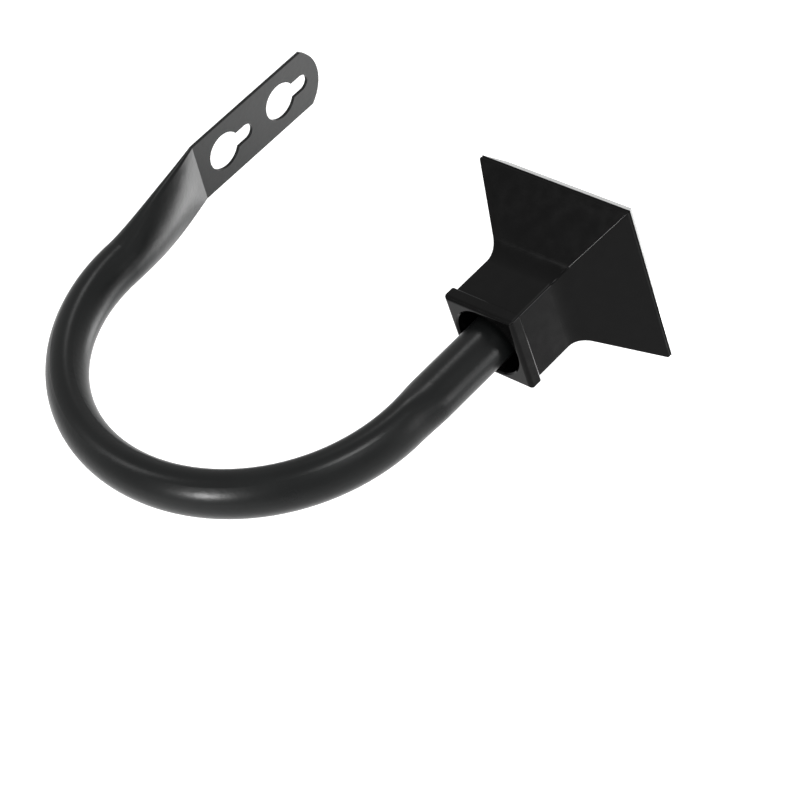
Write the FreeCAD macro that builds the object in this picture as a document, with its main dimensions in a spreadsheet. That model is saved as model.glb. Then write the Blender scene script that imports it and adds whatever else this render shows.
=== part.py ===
import FreeCAD, Part
import math
import os
import Sketcher
from FreeCAD import Placement, Rotation, Vector

# Curtain holdback: a steel tube bent to a U, one end pressed flat into a wall tab with two
# keyholes, the other end carrying a square trumpet finial.
# Frame, in millimetres: the wall is the plane y = 0, with the part on its -Y side. +Z is up,
# and +X runs along both arms, from the closed end of the U to its open end. The origin is on
# the tab's back, midway between the two keyholes.

X, Y, Z = Vector(1, 0, 0), Vector(0, 1, 0), Vector(0, 0, 1)

# The driving sizes, in millimetres and degrees
SIZES = {
    # bent tube
    "tube_d": 16.0,            # outside diameter of the round tube
    "tube_wall": 0.6,          # steel thickness
    "bend_radius": 63.0,       # centre line of the U
    "bend_thin_d": 13.8,       # diameter in the bend's plane, where bending flattens the tube
    "finial_arm": 57.6,        # straight tube from the bend to its end inside the finial
    "bend_ease": 12.0,         # length of the finial arm over which the tube turns round again
    "tab_arm": 44.0,           # bend to the tab's crease, over which the tube is pressed flat
    # wall tab
    "tab_width": 24.8,
    "tab_length": 59.5,        # crease to the middle of the rounded end
    "tab_end_r": 15.6,         # flat arc that the end is cut to
    "hole_pitch": 28.0,        # centre to centre of the two round holes
    "hole_first": 12.5,        # crease to the nearer round hole
    "hole_d": 14.0,            # passes the screw head
    "slot_width": 6.4,         # holds the screw's neck
    "slot_reach": 13.6,        # round hole's centre to the slot's tip
    # finial, sizes across the square given as halves
    "finial_turn": -7.7,       # how far the square is turned about its arm
    "neck_half": 13.4,
    "collar_step": 1.0,        # how far the collar stands out from the neck
    "collar_length": 4.9,
    "collar_round": 1.4,       # edge of the collar's end face
    "collar_back": 0.8,        # and its edge towards the neck
    "neck_length": 24.2,       # collar's end face to where neck and flare planes meet
    "flare_round": 11.7,
    "flare_angle": 43.1,
    "rim_half": 31.1,
    "rim_land": 0.9,           # narrow side band behind the cap
    "rim_round": 0.8,          # where the flare meets that band
    "ridge_round": 0.6,        # the four mitred corners
    "seam_bevel": 0.25,        # edges on either side of the seam
    "shell_wall": 2.0,
    "socket_d": 24.8,
    "socket_depth": 20.0,
    "mouth_bevel": 0.5,
    "rib_width": 1.2,
    "rib_height": 0.7,
    "rib_start": 2.5,
    "web_thick": 7.2,          # floor between the socket and the hollow of the flare
    # cap on the open front
    "cap_inset": 0.15,         # step from the rim in to the cap
    "cap_land": 0.6,
    "cap_bevel": 5.2,
    "cap_edge": 0.4,           # small bevel round the flat front
    "cap_wall": 2.0,
    "lip_half": 27.3,
    "lip_length": 2.7,
    "lip_wall": 1.6,
    "lip_gap": 0.15,           # clearance round the cap's lip
    # fixing inside the collar
    "plug_flange": 1.2,
    "plug_length": 12.0,
    "plug_gap": 0.1,           # clearance of the plug in the tube
    "plug_bevel": 0.5,
    "screw_d": 5.9,
    "screw_length": 16.0,
    "screw_gap": 0.1,          # clearance round the screw in the plug's thread
    "screw_bevel": 0.4,        # at the screw's tip
    "screw_hole_gap": 0.25,    # clearance round the screw in the finial
    "head_flats": 10.0,
    "head_height": 4.0,
    "head_gap": 0.2,           # clearance round and behind the screw's head
}


class Size:
    """A number and the sheet expression that gives it, so that a formula is written once."""

    def __init__(self, value, text):
        self.value = value
        self.text = text

    def join(self, sign, other, value):
        text = other.text if isinstance(other, Size) else repr(other)
        return Size(value, f"({self.text} {sign} {text})")

    def __add__(self, other):
        return self.join("+", other, self.value + number(other))

    def __sub__(self, other):
        return self.join("-", other, self.value - number(other))

    def __mul__(self, other):
        return self.join("*", other, self.value * number(other))

    def __truediv__(self, other):
        return self.join("/", other, self.value / number(other))

    def __neg__(self):
        return self * -1.0


def number(size):
    return size.value if isinstance(size, Size) else float(size)


def sine(angle):
    return Size(math.sin(math.radians(angle.value)), f"sin({angle.text} * 1 deg)")


def cosine(angle):
    return Size(math.cos(math.radians(angle.value)), f"cos({angle.text} * 1 deg)")


def tangent(angle):
    return Size(math.tan(math.radians(angle.value)), f"tan({angle.text} * 1 deg)")


def make_sheet(doc):
    """Write the driving sizes into a sheet, one alias each, and return them as Size values."""
    sheet = doc.addObject("Spreadsheet::Sheet", "dims")
    for row, (name, value) in enumerate(SIZES.items(), start=1):
        sheet.set(f"A{row}", name)
        sheet.set(f"B{row}", str(value))
        sheet.setAlias(f"B{row}", name)
    doc.recompute()
    return {name: Size(float(sheet.get(name)), f"dims.{name}") for name in SIZES}


def bind(item, **sizes):
    """Drive properties of an object from the sheet. A double underscore stands for a dot."""
    for path, size in sizes.items():
        text = size.text if isinstance(size, Size) else repr(float(size))
        item.setExpression(path.replace("__", "."), text)


def place(item, x, y, z, rotation=Rotation()):
    item.Placement = Placement(Vector(number(x), number(y), number(z)), rotation)
    bind(item, Placement__Base__x=x, Placement__Base__y=y, Placement__Base__z=z)


# Sketches

def plane(body, role):
    return next(f for f in body.Origin.OriginFeatures if f.Role == role)


def new_sketch(body, name, role, offset=0.0):
    """A sketch on one of the body's own origin planes, moved along its normal by offset."""
    sketch = body.newObject("Sketcher::SketchObject", name)
    sketch.AttachmentSupport = [(plane(body, role), "")]
    sketch.MapMode = "FlatFace"
    bind(sketch, AttachmentOffset__Base__z=offset)
    return sketch


def pin_point(sketch, geo, end, x, y):
    """Hold one end of a line or arc at x, y."""
    for kind, size in (("DistanceX", x), ("DistanceY", y)):
        value = number(size)
        if abs(value) < 1e-9 and not isinstance(size, Size):
            other = "PointOnObject"
            axis = -2 if kind == "DistanceX" else -1
            sketch.addConstraint(Sketcher.Constraint(other, geo, end, axis))
            continue
        index = sketch.addConstraint(Sketcher.Constraint(kind, -1, 1, geo, end, value))
        bind(sketch, **{f"Constraints[{index}]": size})


def outline(sketch, corners):
    """
    Close a chain of points with lines and arcs. A corner is (x, y), or (x, y, radius) where
    the stretch that leads to it is an arc: a positive radius turns left, a negative one right.
    """
    count = len(corners)
    geos = []
    for i in range(count):
        x0, y0 = (number(v) for v in corners[i - 1][:2])
        x1, y1 = (number(v) for v in corners[i][:2])
        start, stop = Vector(x0, y0, 0), Vector(x1, y1, 0)
        if len(corners[i]) == 2:
            geos.append((sketch.addGeometry(Part.LineSegment(start, stop)), 1, 2))
            continue
        radius = number(corners[i][2])
        half = (stop - start) * 0.5
        rise = math.sqrt(max(radius * radius - half.Length ** 2, 0.0))
        left = Vector(-half.y, half.x, 0).normalize()
        centre = start + half + left * math.copysign(rise, radius)
        first, last = (start, stop) if radius > 0 else (stop, start)
        a0 = math.atan2(first.y - centre.y, first.x - centre.x)
        a1 = math.atan2(last.y - centre.y, last.x - centre.x)
        circle = Part.Circle(centre, Z, abs(radius))
        geo = sketch.addGeometry(Part.ArcOfCircle(circle, a0, a1))
        geos.append((geo, 1, 2) if radius > 0 else (geo, 2, 1))
    for i, (geo, first, last) in enumerate(geos):
        previous, _, end = geos[i - 1]
        sketch.addConstraint(Sketcher.Constraint("Coincident", previous, end, geo, first))
    for corner, (geo, first, last) in zip(corners, geos):
        pin_point(sketch, geo, last, corner[0], corner[1])
        if len(corner) == 3:
            radius = corner[2]
            if number(radius) < 0:
                radius = -radius
            index = sketch.addConstraint(Sketcher.Constraint("Radius", geo, number(radius)))
            bind(sketch, **{f"Constraints[{index}]": radius})


def circle(sketch, diameter, x=0.0, y=0.0):
    centre = Vector(number(x), number(y), 0)
    geo = sketch.addGeometry(Part.Circle(centre, Z, number(diameter) / 2))
    pin_point(sketch, geo, 3, x, y)
    index = sketch.addConstraint(Sketcher.Constraint("Diameter", geo, number(diameter)))
    bind(sketch, **{f"Constraints[{index}]": diameter})


def square(sketch, half):
    outline(sketch, [(-half, -half), (half, -half), (half, half), (-half, half)])


def pad(body, sketch, length, name, **options):
    feature = body.newObject("PartDesign::Pad", name)
    feature.Profile = sketch
    bind(feature, Length=length)
    return set_options(feature, options)


def pocket(body, sketch, length, name, **options):
    """Cut a sketch into the body, and make sure that it takes something away."""
    before = body.Shape.Volume
    feature = body.newObject("PartDesign::Pocket", name)
    feature.Profile = sketch
    bind(feature, Length=length)
    set_options(feature, options)
    body.Document.recompute()
    if body.Shape.Volume > before - 0.01:
        raise RuntimeError(f"{name} cuts nothing")
    return feature


def set_options(feature, options):
    for name, value in options.items():
        if isinstance(value, Size):
            bind(feature, **{name: value})
        else:
            setattr(feature, name, value)
    return feature


def pattern(body, kind, name, originals, **options):
    feature = body.newObject(f"PartDesign::{kind}", name)
    feature.Originals = originals
    set_options(feature, options)
    body.Tip = feature
    return feature


def edges_where(shape, test):
    return [f"Edge{i}" for i, edge in enumerate(shape.Edges, start=1) if test(edge)]


def treat_edges(body, kind, name, test, **size):
    """Put a Fillet or a Chamfer on the edges of the body's last feature that pass a test."""
    body.Document.recompute()
    base = body.Tip
    names = edges_where(base.Shape, test)
    if not names:
        raise RuntimeError(f"{name} finds no edge")
    feature = body.newObject(f"PartDesign::{kind}", name)
    feature.Base = (base, names)
    bind(feature, **size)
    return feature


# The bent tube

HOLLOW_SIDES = 16            # the hollow is many-sided, as nothing shows it
OVAL_SHARE = 45.0            # angle that the oval's tighter arcs span on each side of its middle
PRESS_CURVE = 1.5            # how soon the pressed stretch rises from its crease
PRESS_STEPS = (0.0, 0.1, 0.25, 0.45, 0.65, 0.85, 1.0)
WIDTH_CURVE = 5.0            # how late the pressed stretch narrows
EASE_STEPS = (0.0, 0.25, 0.5, 0.75, 1.0)


def bend_halves(size, inset):
    """Half the oval's size across the bend's plane and in it."""
    squash = size["tube_d"] - size["bend_thin_d"]
    return (size["tube_d"] + squash) / 2 - inset, size["bend_thin_d"] / 2 - inset


def oval_corners(wide, thin):
    """An oval of four arcs, tangent to each other, long in the sketch's Y."""
    shift = (wide - thin) / (1 - math.tan(math.radians(OVAL_SHARE / 2)))
    tight = wide - shift
    easy = tight + shift * math.sqrt(2)
    x, y = tight * math.sqrt(0.5), shift + tight * math.sqrt(0.5)
    return [(x, y, easy), (-x, y, tight), (-x, -y, easy), (x, -y, tight)]


def oval_sides(wide, thin):
    """The many-sided figure inside the same oval, with its corners on it."""
    shift = (wide - thin) / (1 - math.tan(math.radians(OVAL_SHARE / 2)))
    tight = wide - shift
    easy = tight + shift * math.sqrt(2)
    corners = []
    for i in range(HOLLOW_SIDES):
        angle = math.tau * i / HOLLOW_SIDES
        across, up = math.cos(angle), math.sin(angle)
        if abs(up) > 0.7:
            x, y = tight * across, tight * up + shift * math.copysign(1, up)
        else:
            x, y = easy * across - shift * math.copysign(1, across), easy * up
        corners.append((0.0 if abs(across) < 1e-9 else x, 0.0 if abs(up) < 1e-9 else y))
    return corners


def bend(doc, name, centre_x, centre_y, size, inset):
    """Half a turn of the tube's oval section about the middle of the U."""
    profile = doc.addObject("Sketcher::SketchObject", f"{name}_outline")
    halves = bend_halves(size, inset)
    outline(profile, oval_sides(*halves) if inset else oval_corners(*halves))
    place(profile, centre_x, centre_y + size["bend_radius"], 0.0, Rotation(Y, Z, X, "XYZ"))
    turned = doc.addObject("Part::Revolution", name)
    turned.Source = profile
    turned.Axis = Z
    turned.Solid = True
    turned.Angle = 180
    bind(turned, Base__x=centre_x, Base__y=centre_y)
    return turned


def rod(doc, name, x, y, length, diameter):
    cylinder = doc.addObject("Part::Cylinder", name)
    bind(cylinder, Radius=diameter / 2, Height=length)
    place(cylinder, x, y, 0.0, Rotation(Y, 90))
    return cylinder


def oval_wire(x, y, wide, high, share, inset):
    """
    Section of the tube across X from its half sizes: two side arcs and two flatter ones,
    tangent to each other. The share is the angle between the upright and each side arc's end,
    0 when the tube is pressed flat.
    """
    centre = (wide - high) / (1 - math.tan(share / 2))
    side = wide - centre - inset
    join_z = centre + side * math.sin(share)
    join_y = side * math.cos(share)

    def at(z, up):
        return Vector(x, y + up, z)

    top = high - inset
    corners = [at(join_z, join_y), at(join_z, -join_y), at(-join_z, -join_y), at(-join_z, join_y)]
    right = Part.Arc(corners[0], at(centre + side, 0), corners[1]).toShape()
    left = Part.Arc(corners[2], at(-centre - side, 0), corners[3]).toShape()
    if share == 0:
        below = Part.LineSegment(corners[1], corners[2]).toShape()
        above = Part.LineSegment(corners[3], corners[0]).toShape()
    else:
        below = Part.Arc(corners[1], at(0, -top), corners[2]).toShape()
        above = Part.Arc(corners[3], at(0, top), corners[0]).toShape()
    edges = [right, below, left, above]
    if not inset:
        return Part.Wire(edges)
    count = HOLLOW_SIDES // 4 + 1
    points = [point for edge in edges for point in edge.discretize(count)[:-1]]
    return Part.makePolygon(points + points[:1])


def pressed_wire(x, lift, size, inset):
    """Section of the pressed stretch. Lift goes from 0, pressed flat, to 1, at the bend."""
    wide, thin = (half.value for half in bend_halves(size, 0.0))
    radius, wall = size["tube_d"].value / 2, size["tube_wall"].value
    flat = size["tab_width"].value / 2
    high = wall + (thin - wall) * lift
    across = flat - (flat - wide) * lift ** WIDTH_CURVE
    off_wall = wall + (radius - wall) * lift
    return oval_wire(x, -off_wall, across, high, math.radians(OVAL_SHARE) * lift, inset)


def pressed_stretch(doc, name, crease_x, size, inset):
    """Loft from the bend's oval to the crease. The hollow one ends where the walls meet."""
    run = size["tab_arm"].value
    wires = []
    for step in PRESS_STEPS[1:] if inset else PRESS_STEPS:
        lift = 1 - (1 - step) ** PRESS_CURVE
        wires.append(pressed_wire(crease_x.value - run * step, lift, size, inset))
    feature = doc.addObject("Part::Feature", name)
    feature.Shape = Part.makeLoft(wires, True, bool(inset))
    return feature


def eased_stretch(doc, name, x, y, size, inset):
    """Loft from the bend's oval back to the round tube."""
    wide, thin = (half.value for half in bend_halves(size, 0.0))
    radius, run = size["tube_d"].value / 2, size["bend_ease"].value
    wires = []
    for step in EASE_STEPS:
        blend = step * step * (3 - 2 * step)
        wires.append(oval_wire(x.value + run * step, y.value, wide + (radius - wide) * blend,
                               thin + (radius - thin) * blend, math.radians(OVAL_SHARE), inset))
    feature = doc.addObject("Part::Feature", name)
    feature.Shape = Part.makeLoft(wires, True, bool(inset))
    return feature


def tab_blank(doc, name, crease_x, size):
    """The flattened end, two walls thick with its folded edges round, before it is cut."""
    face = Part.Face(pressed_wire(crease_x.value, 0, size, 0.0))
    feature = doc.addObject("Part::Feature", name)
    feature.Shape = face.extrude(X * size["tab_length"].value)
    return feature


def keyhole(body, size, x):
    """One round hole with its slot towards the tab's free end."""
    sketch = new_sketch(body, "keyhole_outline", "XZ_Plane")
    hole_r, slot_r = size["hole_d"] / 2, size["slot_width"] / 2
    start = math.sqrt(hole_r.value ** 2 - slot_r.value ** 2)
    start = Size(start, f"sqrt({hole_r.text} ^ 2 - {slot_r.text} ^ 2)")
    tip = x + size["slot_reach"] - slot_r
    outline(sketch, [
        (x + start, slot_r),
        (x - hole_r, 0.0, hole_r),
        (x + start, -slot_r, hole_r),
        (tip, -slot_r),
        (tip + slot_r, 0.0, slot_r),
        (tip, slot_r, slot_r),
    ])
    return sketch


def arm_tube(doc, size):
    crease_x = -(size["hole_first"] + size["hole_pitch"] / 2)
    bend_x = crease_x - size["tab_arm"]
    wall_y = -(size["tube_d"] / 2)
    bend_y = wall_y - size["bend_radius"]
    finial_y = bend_y - size["bend_radius"]
    round_run = size["finial_arm"] - size["bend_ease"]
    round_x = bend_x + size["bend_ease"]
    skins = []
    for label, inset in (("outer", 0.0), ("hollow", size["tube_wall"])):
        diameter = size["tube_d"] - inset * 2 if inset else size["tube_d"]
        pieces = [
            rod(doc, f"{label}_finial_arm", round_x, finial_y, round_run, diameter),
            eased_stretch(doc, f"{label}_ease", bend_x, finial_y, size, number(inset)),
            bend(doc, f"{label}_bend", bend_x, bend_y, size, inset),
            pressed_stretch(doc, f"{label}_press", crease_x, size, number(inset)),
        ]
        if not inset:
            pieces.append(tab_blank(doc, "tab_blank", crease_x, size))
        skin = doc.addObject("Part::MultiFuse", label)
        skin.Shapes = pieces
        skins.append(skin)
    bare = doc.addObject("Part::Cut", "bare_tube")
    bare.Base, bare.Tool = skins
    doc.recompute()

    body = doc.addObject("PartDesign::Body", "arm_tube")
    body.BaseFeature = bare
    doc.recompute()
    end_x = crease_x + size["tab_length"]
    half, radius = size["tab_width"] / 2, size["tab_end_r"]
    sag = math.sqrt(radius.value ** 2 - half.value ** 2)
    corner_x = end_x - radius + Size(sag, f"sqrt({radius.text} ^ 2 - {half.text} ^ 2)")
    past = radius * 2
    trim = new_sketch(body, "end_outline", "XZ_Plane")
    outline(trim, [
        (corner_x, -past),
        (end_x + past, -past),
        (end_x + past, past),
        (corner_x, past),
        (corner_x, half),
        (end_x, 0.0, -radius),
        (corner_x, -half, -radius),
    ])
    depth = size["tube_d"] * 2
    pocket(body, trim, depth, "end_cut", Midplane=True)
    first_hole = crease_x + size["hole_first"]
    outline_of_hole = keyhole(body, size, first_hole)
    cut = pocket(body, outline_of_hole, depth, "keyhole", Midplane=True)
    row = (outline_of_hole, ["H_Axis"])
    pattern(body, "LinearPattern", "keyholes", [cut], Direction=row, Occurrences=2,
            Length=size["hole_pitch"])
    doc.recompute()
    return body


# The finial

def trumpet_side(size, close_at):
    """Half of the finial's outline from the collar to the rim, closed at a chosen height."""
    neck, corner = size["neck_half"], size["neck_length"]
    step, rounding = size["collar_step"], size["collar_round"]
    collar, back = neck + step, size["collar_back"]
    reach = size["flare_round"] * tangent(size["flare_angle"] / 2)
    rim, rim_x = size["rim_half"], corner + (size["rim_half"] - neck) / tangent(size["flare_angle"])
    rim_reach = size["rim_round"] * tangent(size["flare_angle"] / 2)
    front = rim_x + size["rim_land"]
    return [
        (0.0, close_at),
        (0.0, collar - rounding),
        (rounding, collar, -rounding),
        (size["collar_length"] - back, collar),
        (size["collar_length"], collar - back, -back),
        (size["collar_length"], neck),
        (corner - reach, neck),
        (corner + reach * cosine(size["flare_angle"]), neck + reach * sine(size["flare_angle"]),
         size["flare_round"]),
        (rim_x - rim_reach * cosine(size["flare_angle"]),
         rim - rim_reach * sine(size["flare_angle"])),
        (rim_x + rim_reach, rim, -size["rim_round"]),
        (front, rim),
        (front, close_at),
    ]


def rim_front(size):
    run = (size["rim_half"] - size["neck_half"]) / tangent(size["flare_angle"])
    return size["neck_length"] + run + size["rim_land"]


def edge_points(edge):
    span = edge.LastParameter - edge.FirstParameter
    return [edge.valueAt(edge.FirstParameter + span * t) for t in (0.1, 0.5, 0.9)]


def is_ridge(edge):
    """The edges where two flanks meet lie in the diagonal planes of the square."""
    points = edge_points(edge)
    on_diagonal = all(abs(abs(p.y) - abs(p.z)) < 0.001 and abs(p.y) > 1 for p in points)
    return on_diagonal and abs(points[0].x - points[2].x) > 0.01


def is_ring(x, radius):
    """A test for the circular edges round the X axis at one place."""
    def test(edge):
        return all(abs(p.x - number(x)) < 0.01 and abs(math.hypot(p.y, p.z) - number(radius)) < 0.01
                   for p in edge_points(edge))
    return test


def is_side(x, half):
    """A test for the straight edges of a square outline at one place on the X axis."""
    def test(edge):
        return all(abs(p.x - number(x)) < 0.01
                   and abs(max(abs(p.y), abs(p.z)) - number(half)) < 0.01
                   for p in edge_points(edge))
    return test


def hexagon(sketch, flats):
    """A hexagon with two of its flats upright."""
    side = flats / math.sqrt(3)
    half = flats / 2
    outline(sketch, [(half, side / 2), (0.0, side), (-half, side / 2),
                     (-half, -side / 2), (0.0, -side), (half, -side / 2)])


def set_finial_place(body, size, along):
    """Put a body whose X axis is the finial's axis on the finial arm, turned with it."""
    mouth_x, arm_y = finial_mouth(size)
    turn = size["finial_turn"]
    place(body, mouth_x + along, arm_y, 0.0, Rotation(X, turn.value))
    bind(body, Placement__Rotation__Angle=turn)
    return body


def finial_mouth(size):
    """Where the collar's end face meets the arm's centre line."""
    bend_x = -(size["hole_first"] + size["hole_pitch"] / 2 + size["tab_arm"])
    tube_end = bend_x + size["finial_arm"]
    arm_y = -(size["tube_d"] / 2 + size["bend_radius"] * 2)
    return tube_end + size["plug_flange"] - size["socket_depth"], arm_y


def finial_shell(doc, size):
    body = doc.addObject("PartDesign::Body", "finial_shell")
    rim, front = size["rim_half"], rim_front(size)
    profile = new_sketch(body, "flank_outline", "XZ_Plane")
    outline(profile, trumpet_side(size, 0.0))
    flank = pad(body, profile, rim * 2, "flanks", Midplane=True)
    doc.recompute()
    pattern(body, "Mirrored", "both_flanks", [flank], MirrorPlane=(plane(body, "XY_Plane"), [""]))
    doc.recompute()
    around = new_sketch(body, "waste_outline", "XY_Plane")
    outline(around, trumpet_side(size, rim * 1.5))
    waste = pocket(body, around, rim * 3, "side_cut", Midplane=True)
    pattern(body, "Mirrored", "both_sides", [waste], MirrorPlane=(plane(body, "XZ_Plane"), [""]))
    treat_edges(body, "Fillet", "ridge_rounding", is_ridge, Radius=size["ridge_round"])
    doc.recompute()

    mouth = new_sketch(body, "socket_outline", "YZ_Plane")
    circle(mouth, size["socket_d"])
    pocket(body, mouth, size["socket_depth"], "socket", Reversed=True)
    treat_edges(body, "Chamfer", "mouth_edge", is_ring(0.0, size["socket_d"] / 2),
                Size=size["mouth_bevel"])
    doc.recompute()

    seat = new_sketch(body, "lip_seat_outline", "YZ_Plane", front)
    square(seat, size["lip_half"] + size["lip_gap"])
    seat_depth = size["lip_length"] + size["lip_gap"]
    pocket(body, seat, seat_depth, "lip_seat")
    floor_x = size["socket_depth"] + size["web_thick"]
    slope = tangent(size["flare_angle"])
    cavity_x = front - seat_depth
    skin = size["shell_wall"] / cosine(size["flare_angle"])
    cavity_half = rim - (seat_depth - size["rim_land"]) * slope - skin
    cavity = new_sketch(body, "cavity_outline", "YZ_Plane", cavity_x)
    square(cavity, cavity_half)
    pocket(body, cavity, cavity_x - floor_x, "cavity", TaperAngle=-size["flare_angle"])

    rib = new_sketch(body, "rib_outline", "YZ_Plane", size["rib_start"])
    half, outer = size["rib_width"] / 2, size["socket_d"] / 2
    inner = outer - size["rib_height"]
    into = outer + size["rib_height"] / 2
    outline(rib, [(into, half), (inner, half), (inner, -half), (into, -half)])
    length = size["socket_depth"] - size["rib_start"]
    one = pad(body, rib, length, "rib")
    pattern(body, "PolarPattern", "ribs", [one], Axis=(plane(body, "X_Axis"), [""]),
            Occurrences=4, Angle=360)
    doc.recompute()

    hole = new_sketch(body, "screw_hole_outline", "YZ_Plane", floor_x)
    circle(hole, size["screw_d"] + size["screw_hole_gap"] * 2)
    pocket(body, hole, size["web_thick"] + 1.0, "screw_hole")
    recess = new_sketch(body, "head_recess_outline", "YZ_Plane", floor_x)
    hexagon(recess, size["head_flats"] + size["head_gap"] * 2)
    pocket(body, recess, size["head_height"] + size["head_gap"], "head_recess")
    doc.recompute()
    treat_edges(body, "Chamfer", "seam_edge", is_side(front, rim), Size=size["seam_bevel"])
    return set_finial_place(body, size, 0.0)


def finial_cap(doc, size):
    """The bevelled front, with a lip that fits inside the rim."""
    body = doc.addObject("PartDesign::Body", "finial_cap")
    half = size["rim_half"] - size["cap_inset"]
    base = new_sketch(body, "cap_outline", "YZ_Plane")
    square(base, half)
    pad(body, base, size["cap_land"], "land")
    doc.recompute()
    face = new_sketch(body, "bevel_outline", "YZ_Plane", size["cap_land"])
    square(face, half)
    pad(body, face, size["cap_bevel"], "bevel", TaperAngle=Size(-45.0, "-45"))
    face_x = size["cap_land"] + size["cap_bevel"]
    treat_edges(body, "Chamfer", "front_edge", is_side(face_x, half - size["cap_bevel"]),
                Size=size["cap_edge"])
    treat_edges(body, "Chamfer", "seam_edge", is_side(0.0, half), Size=size["seam_bevel"])
    doc.recompute()
    lip = new_sketch(body, "lip_outline", "YZ_Plane")
    square(lip, size["lip_half"])
    pad(body, lip, size["lip_length"], "lip", Reversed=True)
    doc.recompute()
    inside = new_sketch(body, "hollow_outline", "YZ_Plane", -size["lip_length"])
    hollow_half = size["lip_half"] - size["lip_wall"]
    square(inside, hollow_half)
    pocket(body, inside, size["lip_length"], "lip_hollow", Reversed=True)
    under = new_sketch(body, "bevel_hollow_outline", "YZ_Plane")
    square(under, hollow_half)
    depth = face_x - size["cap_wall"]
    pocket(body, under, depth, "bevel_hollow", Reversed=True, TaperAngle=Size(-45.0, "-45"))
    return set_finial_place(body, size, rim_front(size))


def tube_plug(doc, size):
    """The threaded plug in the tube's end, turned, with its flange against the tube."""
    body = doc.addObject("PartDesign::Body", "tube_plug")
    bore_r = size["screw_d"] / 2 + size["screw_gap"]
    outer_r = size["tube_d"] / 2 - size["tube_wall"] - size["plug_gap"]
    flange_r = size["tube_d"] / 2
    flange, bevel, end = size["plug_flange"], size["plug_bevel"], -size["plug_length"]
    profile = new_sketch(body, "plug_outline", "XZ_Plane")
    outline(profile, [
        (flange, bore_r),
        (flange, flange_r),
        (0.0, flange_r),
        (0.0, outer_r),
        (end + bevel, outer_r),
        (end, outer_r - bevel),
        (end, bore_r),
    ])
    turned = body.newObject("PartDesign::Revolution", "turned_plug")
    turned.Profile = profile
    turned.ReferenceAxis = (profile, ["H_Axis"])
    turned.Angle = 360
    return set_finial_place(body, size, size["socket_depth"] - flange)


def finial_screw(doc, size):
    """The hexagon-head screw that holds the finial to the plug."""
    body = doc.addObject("PartDesign::Body", "finial_screw")
    head = new_sketch(body, "head_outline", "YZ_Plane")
    hexagon(head, size["head_flats"])
    pad(body, head, size["head_height"], "head")
    doc.recompute()
    neck = new_sketch(body, "shank_outline", "YZ_Plane")
    circle(neck, size["screw_d"])
    pad(body, neck, size["screw_length"], "shank", Reversed=True)
    tip = -size["screw_length"]
    treat_edges(body, "Chamfer", "tip_edge", is_ring(tip, size["screw_d"] / 2),
                Size=size["screw_bevel"])
    seat = size["socket_depth"] + size["web_thick"] - size["head_height"] - size["head_gap"]
    return set_finial_place(body, size, seat)


def check(doc, parts):
    for item in doc.Objects:
        if "Invalid" in item.State or "Error" in item.State:
            raise RuntimeError(f"{item.Name} is {item.State}")
    for part in parts:
        if part.Shape.isNull() or not part.Shape.isValid():
            raise RuntimeError(f"{part.Label} has no valid shape")


def main():
    doc = FreeCAD.newDocument("curtain_holdback")
    size = make_sheet(doc)
    parts = [make(doc, size) for make in (arm_tube, tube_plug, finial_shell, finial_cap,
                                          finial_screw)]
    doc.recompute()
    check(doc, parts)
    os.makedirs("parts", exist_ok=True)
    for part in parts:
        part.Shape.exportStep(f"parts/{part.Label}.step")


main()
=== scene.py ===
import math

import bpy
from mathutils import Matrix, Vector

# Curtain holdback, dressed for its picture: satin black steel tube, glossy black moulded finial.
# Everything is in metres, in the frame of the model: the wall is y = 0, the part is on its -Y
# side, +Z is up and +X runs along both arms to the open end of the U.

# Camera, at the place and angle worked out from the photograph

CAMERA_PLACE = (-0.44406, -0.61846, 0.68826)
CAMERA_TURN = (41.1568, 9.6934, -48.5198)  # degrees about x, y and z
LENS = 134.944  # mm
SENSOR = 36.0  # mm

# Points that the lamps aim at

MIDDLE = (-0.05, -0.08, 0.0)
FINIAL = (-0.01, -0.134, 0.0)
TAB = (-0.01, 0.0, 0.0)

# White surroundings: how strongly room and floor are seen, and how strongly the room gives light

ROOM_SEEN = 1.0
ROOM_LIGHT = 0.35
FLOOR_SEEN = 0.8
FLOOR_SIZE = 6.0
FLOOR_HEIGHT = -0.30

# Patterns of the finishes, from one ripple, spot or line to the next

MM = 0.001
COAT_RIPPLE = 1.61 * MM
COAT_CLOUD = 22.2 * MM
MOULD_WAVE = 28.6 * MM
HAZE_SPOT = 4.17 * MM
TURNED_LINE = 0.952 * MM

# Distance between a Wave node's lines at scale 1; a Noise node's spots are then about 1 apart

WAVE_PITCH = math.pi / 10

# Sockets of a colour Mix node, whose names repeat

MIX_FACTOR, MIX_FIRST, MIX_SECOND, MIX_RESULT = 0, 6, 7, 2


def linear(code):
    """An sRGB hex colour as linear RGBA."""
    parts = [int(code[i:i + 2], 16) / 255 for i in (1, 3, 5)]
    return [v / 12.92 if v <= 0.04045 else ((v + 0.055) / 1.055) ** 2.4 for v in parts] + [1.0]


# Materials

def set_inputs(node, inputs):
    """Give inputs of a node, each by its name or number, a value or a link."""
    for socket, value in inputs.items():
        if isinstance(value, bpy.types.NodeSocket):
            node.id_data.links.new(value, node.inputs[socket])
        else:
            node.inputs[socket].default_value = value


def add_node(tree, kind, inputs, **settings):
    """Add a node with its settings, then its inputs."""
    node = tree.nodes.new(kind)
    for name, value in settings.items():
        setattr(node, name, value)
    set_inputs(node, inputs)
    return node


def new_material(name, inputs):
    """A material, its nodes and its Principled shader, which starts from plain values."""
    material = bpy.data.materials.new(name)
    material.use_nodes = True
    tree = material.node_tree
    shader = tree.nodes["Principled BSDF"]
    set_inputs(shader, inputs)
    return material, tree, shader


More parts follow.
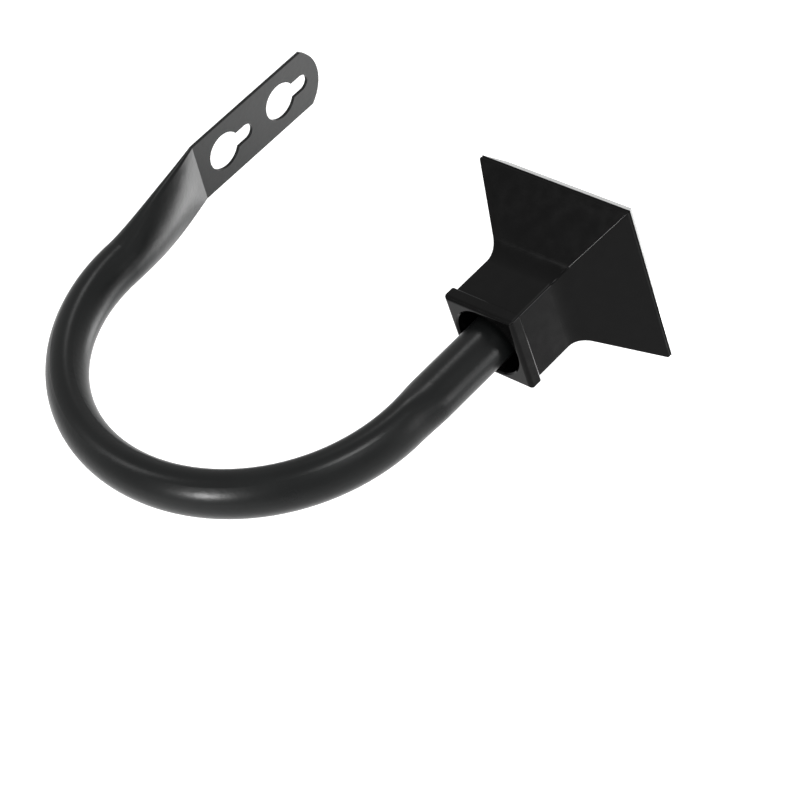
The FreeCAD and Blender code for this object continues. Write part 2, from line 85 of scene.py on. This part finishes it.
def powder_coated_steel():
    """
    Thin steel tube under a satin black powder coat. The coat flows out to faint ripples a
    millimetre or two across, so its soft shine breaks up slightly instead of running glassy.
    Its tone and shine drift a little over a few centimetres.
    """
    material, tree, shader = new_material("powder_coated_steel", {
        "Base Color": linear("#101111"), "Roughness": 0.3, "Specular IOR Level": 0.13})
    place = add_node(tree, "ShaderNodeTexCoord", {}).outputs["Object"]
    ripple = add_node(tree, "ShaderNodeTexNoise", {
        "Vector": place, "Scale": 1 / COAT_RIPPLE, "Detail": 2.0}).outputs["Fac"]
    cloud = add_node(tree, "ShaderNodeTexNoise", {
        "Vector": place, "Scale": 1 / COAT_CLOUD, "Detail": 3.0}).outputs["Fac"]
    tone = add_node(tree, "ShaderNodeMix", {
        MIX_FACTOR: cloud, MIX_FIRST: linear("#0b0c0c"), MIX_SECOND: linear("#131414")},
        data_type="RGBA")
    rough = add_node(tree, "ShaderNodeMapRange", {
        "Value": cloud, "From Min": 0.3, "From Max": 0.7, "To Min": 0.27, "To Max": 0.34})
    bump = add_node(tree, "ShaderNodeBump", {
        "Strength": 0.06, "Distance": 0.0006, "Height": ripple})
    set_inputs(shader, {
        "Base Color": tone.outputs[MIX_RESULT], "Roughness": rough.outputs["Result"],
        "Normal": bump.outputs["Normal"]})
    return material


def moulded_plastic():
    """
    Glossy black ABS from a polished mould. Slow waves of the cooled walls bend its highlights a
    little, and handling leaves a faint haze of small spots.
    """
    material, tree, shader = new_material("moulded_abs", {
        "Base Color": linear("#060606"), "Roughness": 0.13, "Specular IOR Level": 0.07})
    place = add_node(tree, "ShaderNodeTexCoord", {}).outputs["Object"]
    wave = add_node(tree, "ShaderNodeTexNoise", {
        "Vector": place, "Scale": 1 / MOULD_WAVE, "Detail": 0.0}).outputs["Fac"]
    haze = add_node(tree, "ShaderNodeTexNoise", {
        "Vector": place, "Scale": 1 / HAZE_SPOT, "Detail": 4.0}).outputs["Fac"]
    tone = add_node(tree, "ShaderNodeMix", {
        MIX_FACTOR: haze, MIX_FIRST: linear("#030303"), MIX_SECOND: linear("#080808")},
        data_type="RGBA")
    rough = add_node(tree, "ShaderNodeMapRange", {
        "Value": haze, "From Min": 0.35, "From Max": 0.75, "To Min": 0.10, "To Max": 0.20})
    bump = add_node(tree, "ShaderNodeBump", {
        "Strength": 0.006, "Distance": 0.002, "Height": wave})
    set_inputs(shader, {
        "Base Color": tone.outputs[MIX_RESULT], "Roughness": rough.outputs["Result"],
        "Normal": bump.outputs["Normal"]})
    return material


def zinc_plated_steel():
    """
    Bright zinc on turned steel: pale grey, with turning lines round the screw. The lines are
    drawn coarser than real ones, which are too fine to show.
    """
    material, tree, shader = new_material("zinc_plated_steel", {
        "Base Color": linear("#b4b8bd"), "Metallic": 1.0, "Roughness": 0.3})
    place = add_node(tree, "ShaderNodeTexCoord", {}).outputs["Object"]
    lines = add_node(tree, "ShaderNodeTexWave", {
        "Vector": place, "Scale": WAVE_PITCH / TURNED_LINE, "Distortion": 0.4, "Detail": 1.0},
        bands_direction="X")
    bump = add_node(tree, "ShaderNodeBump", {
        "Strength": 0.15, "Distance": 0.0002, "Height": lines.outputs["Fac"]})
    set_inputs(shader, {"Normal": bump.outputs["Normal"]})
    return material


def dress(piece, material):
    """Give a piece one material all over."""
    piece.data.materials.clear()
    piece.data.materials.append(material)


# Camera and lamps

def add_camera():
    """The photograph's camera, as nearly as it could be worked out."""
    data = bpy.data.cameras.new("photo_camera")
    data.sensor_width = SENSOR
    data.lens = LENS
    camera = bpy.data.objects.new("photo_camera", data)
    camera.location = CAMERA_PLACE
    camera.rotation_euler = [math.radians(angle) for angle in CAMERA_TURN]
    bpy.context.scene.collection.objects.link(camera)
    bpy.context.scene.camera = camera


def add_softbox(name, place, target, width, height, watts):
    """A flat lamp that faces its target and isn't itself in the picture."""
    light = bpy.data.lights.new(name, "AREA")
    light.shape = "RECTANGLE"
    light.size = width
    light.size_y = height
    light.energy = watts
    lamp = bpy.data.objects.new(name, light)
    lamp.location = place
    aim = Vector(target) - Vector(place)
    lamp.rotation_euler = aim.to_track_quat("-Z", "Y").to_euler()
    lamp.visible_camera = False
    bpy.context.scene.collection.objects.link(lamp)


def add_lamps():
    """Main lamps left, front and back, two on the finial's right side, two low ones for the tab."""
    add_softbox("left_strip", (-1.1, -0.30, 0.18), FINIAL, width=0.16, height=0.22, watts=12.0)
    add_softbox("front_softbox", (-0.15, -0.85, 0.75), MIDDLE, width=0.35, height=0.35, watts=8.0)
    add_softbox("back_softbox", (-0.75, 0.55, 0.9), MIDDLE, width=0.35, height=0.5, watts=3.5)
    add_softbox("right_softbox", (0.38, 0.12, 0.71), FINIAL, width=0.2, height=0.2, watts=1.6)
    add_softbox("right_strip", (0.36, -0.92, -0.05), FINIAL, width=0.15, height=0.4, watts=2.0)
    add_softbox("right_reflector", (0.25, -0.10, -0.26), TAB, width=0.16, height=0.16, watts=0.48)
    add_softbox("low_reflector", (0.19, -0.27, -0.28), TAB, width=0.18, height=0.18, watts=0.5)


# White surroundings

def seen_directly(tree):
    """1 for the camera, and for what metal and gloss mirror or glass lets through, else 0."""
    path = add_node(tree, "ShaderNodeLightPath", {})
    total = path.outputs["Is Camera Ray"]
    for ray in ("Is Glossy Ray", "Is Transmission Ray"):
        total = add_node(tree, "ShaderNodeMath", {0: total, 1: path.outputs[ray]},
                         operation="MAXIMUM").outputs["Value"]
    return total


def add_room():
    """A world that is seen white and lights the part only softly."""
    world = bpy.data.worlds.new("white_room")
    bpy.context.scene.world = world
    world.use_nodes = True
    tree = world.node_tree
    tree.nodes.clear()
    white = linear("#ffffff")
    seen = add_node(tree, "ShaderNodeBackground", {"Color": white, "Strength": ROOM_SEEN})
    lit = add_node(tree, "ShaderNodeBackground", {"Color": white, "Strength": ROOM_LIGHT})
    mix = add_node(tree, "ShaderNodeMixShader", {
        "Fac": seen_directly(tree), 1: lit.outputs["Background"], 2: seen.outputs["Background"]})
    add_node(tree, "ShaderNodeOutputWorld", {"Surface": mix.outputs["Shader"]})


def add_floor():
    """White ground far below, whose own glow is seen on top of the light that falls on it."""
    bpy.ops.object.select_all(action="DESELECT")
    bpy.ops.mesh.primitive_plane_add(size=FLOOR_SIZE, location=(0, 0, FLOOR_HEIGHT))
    floor = bpy.context.object
    floor.name = "floor"
    material, tree, shader = new_material("white_floor", {
        "Base Color": linear("#c4c4c4"), "Roughness": 0.9, "Emission Color": linear("#ffffff")})
    glow = add_node(tree, "ShaderNodeMath", {0: seen_directly(tree), 1: FLOOR_SEEN},
                    operation="MULTIPLY")
    set_inputs(shader, {"Emission Strength": glow.outputs["Value"]})
    dress(floor, material)


# The scene

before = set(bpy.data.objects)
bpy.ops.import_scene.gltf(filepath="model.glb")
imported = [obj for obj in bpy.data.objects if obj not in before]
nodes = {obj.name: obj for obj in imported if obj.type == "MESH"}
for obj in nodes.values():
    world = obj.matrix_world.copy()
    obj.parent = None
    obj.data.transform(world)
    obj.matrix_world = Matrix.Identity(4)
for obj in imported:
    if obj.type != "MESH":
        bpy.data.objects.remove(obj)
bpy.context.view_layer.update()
bpy.context.scene.view_settings.view_transform = "Standard"

add_camera()
add_lamps()
add_room()
add_floor()

steel = powder_coated_steel()
plastic = moulded_plastic()
zinc = zinc_plated_steel()
dress(nodes["arm_tube"], steel)
for name in ("finial_shell", "finial_cap"):
    dress(nodes[name], plastic)
for name in ("tube_plug", "finial_screw"):
    dress(nodes[name], zinc)
